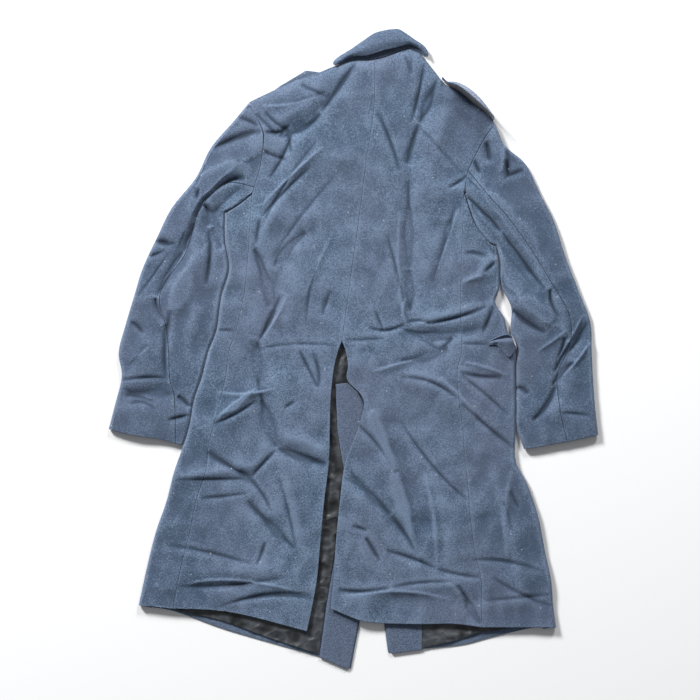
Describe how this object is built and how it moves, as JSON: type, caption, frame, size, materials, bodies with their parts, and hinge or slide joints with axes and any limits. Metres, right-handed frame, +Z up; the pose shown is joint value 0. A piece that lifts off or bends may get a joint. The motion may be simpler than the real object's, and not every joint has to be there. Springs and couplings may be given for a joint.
{
  "type": "military greatcoat",
  "caption": "Heavy wool greatcoat laid flat, back up, with turned-down collar, two-piece sleeves, shoulder straps and an open back vent over a satin lining",
  "frame": {"origin": "on the surface under the middle of the coat's bounding box", "axes": "+X to the coat's right sleeve, +Y towards the collar, +Z up off the surface, out of the coat's back"},
  "size_m": [0.978, 1.2837, 0.0494],
  "materials": {
    "wool": "thick milled blue-grey melton wool with a short mottled nap",
    "facing": "the same melton wool on the inside, a little darker",
    "lining": "black satin with a soft gloss and fine crinkles"
  },
  "bodies": {
    "root": {"back_left": "wool", "back_right": "wool", "front_left": "wool", "front_right": "wool", "sleeve_left_top": "wool", "sleeve_left_under": "wool", "sleeve_right_top": "wool", "sleeve_right_under": "wool", "lining_left": "lining", "facing_left": "facing", "lining_right": "lining", "facing_right": "facing", "vent_underlap": "facing", "collar_stand": "wool", "collar_fall": "wool", "shoulder_strap_left": "wool", "shoulder_strap_right": "wool", "pocket_flap_right": "wool"}
  },
  "joints": []
}
